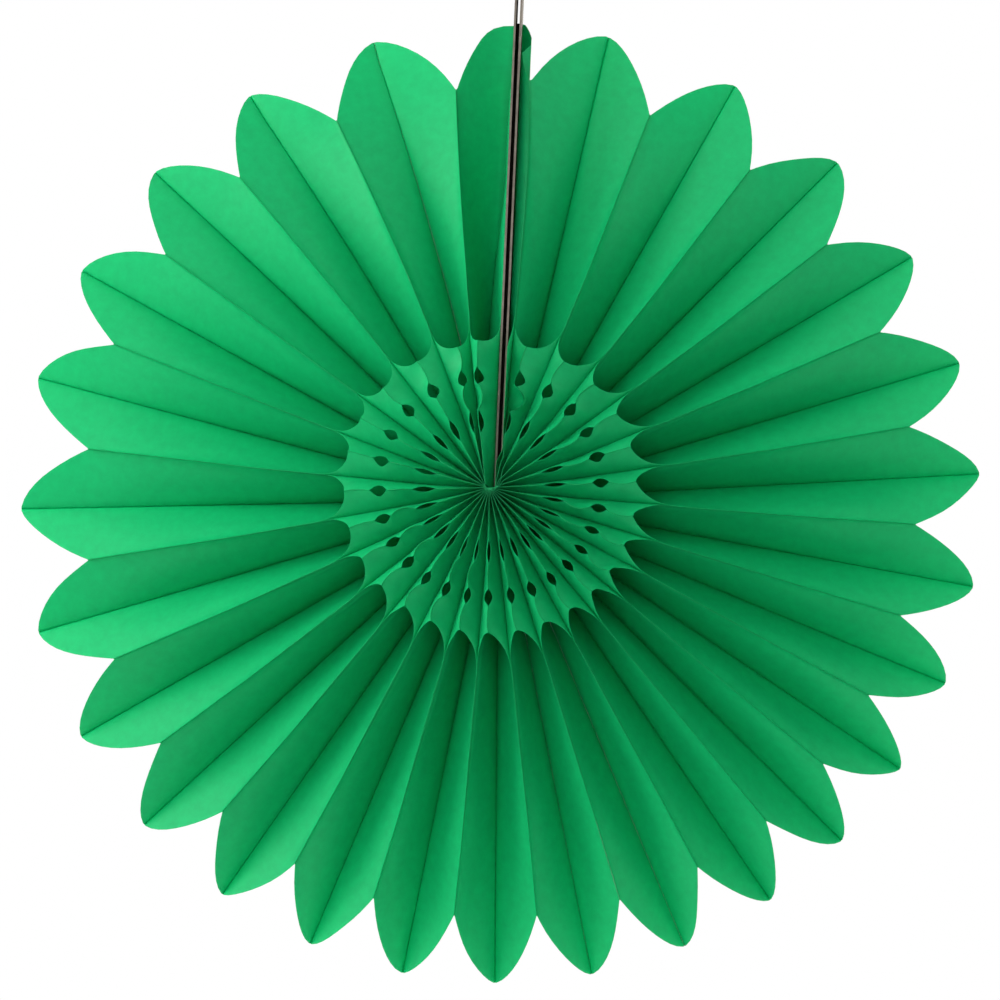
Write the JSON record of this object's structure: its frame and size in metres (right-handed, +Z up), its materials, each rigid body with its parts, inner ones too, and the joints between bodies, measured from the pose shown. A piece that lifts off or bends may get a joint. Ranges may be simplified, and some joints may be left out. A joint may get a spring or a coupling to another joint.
{
  "type": "paper fan medallion",
  "caption": "Round hanging decoration of die-cut pleated tissue leaves, spread full circle between two card strips.",
  "frame": {"origin": "middle of the hanging hole through the ends of the two strips", "axes": "+Z up along the strips, away from the hub; the fan faces -Y; +X is to the right seen from the front, along the hanging hole"},
  "size_m": [0.6854, 0.0688, 0.7442],
  "materials": {
    "tissue": "matt tissue paper, bright green",
    "chipboard": "raw grey-brown chipboard",
    "tape": "black double-sided foam tape",
    "thread": "green sewing thread"
  },
  "bodies": {
    "root": {"tissue_leaf_01": "tissue", "tissue_leaf_02": "tissue", "tissue_leaf_03": "tissue", "tissue_leaf_04": "tissue", "tissue_leaf_05": "tissue", "tissue_leaf_06": "tissue", "tissue_leaf_07": "tissue", "tissue_leaf_08": "tissue", "tissue_leaf_09": "tissue", "tissue_leaf_10": "tissue", "tissue_leaf_11": "tissue", "tissue_leaf_12": "tissue", "tissue_leaf_13": "tissue", "tissue_leaf_14": "tissue", "tissue_leaf_15": "tissue", "tissue_leaf_16": "tissue", "tissue_leaf_17": "tissue", "tissue_leaf_18": "tissue", "tissue_leaf_19": "tissue", "tissue_leaf_20": "tissue", "tissue_leaf_21": "tissue", "tissue_leaf_22": "tissue", "tissue_leaf_23": "tissue", "tissue_leaf_24": "tissue", "tissue_leaf_25": "tissue", "tissue_leaf_26": "tissue", "tissue_leaf_27": "tissue", "tissue_leaf_28": "tissue", "tissue_leaf_29": "tissue", "tissue_leaf_30": "tissue", "tissue_leaf_31": "tissue", "tissue_leaf_32": "tissue", "tissue_leaf_33": "tissue", "tissue_leaf_34": "tissue", "tissue_leaf_35": "tissue", "tissue_leaf_36": "tissue", "tissue_leaf_37": "tissue", "tissue_leaf_38": "tissue", "tissue_leaf_39": "tissue", "tissue_leaf_40": "tissue", "tissue_leaf_41": "tissue", "tissue_leaf_42": "tissue", "tissue_leaf_43": "tissue", "tissue_leaf_44": "tissue", "tissue_leaf_45": "tissue", "tissue_leaf_46": "tissue", "tissue_leaf_47": "tissue", "tissue_leaf_48": "tissue", "tissue_leaf_49": "tissue", "tissue_leaf_50": "tissue", "tissue_leaf_51": "tissue", "tissue_leaf_52": "tissue", "tissue_leaf_53": "tissue", "tissue_leaf_54": "tissue", "tissue_leaf_55": "tissue", "left_end_board": "chipboard", "right_end_board": "chipboard", "joining_tape": "tape", "hub_thread": "thread"}
  },
  "joints": []
}
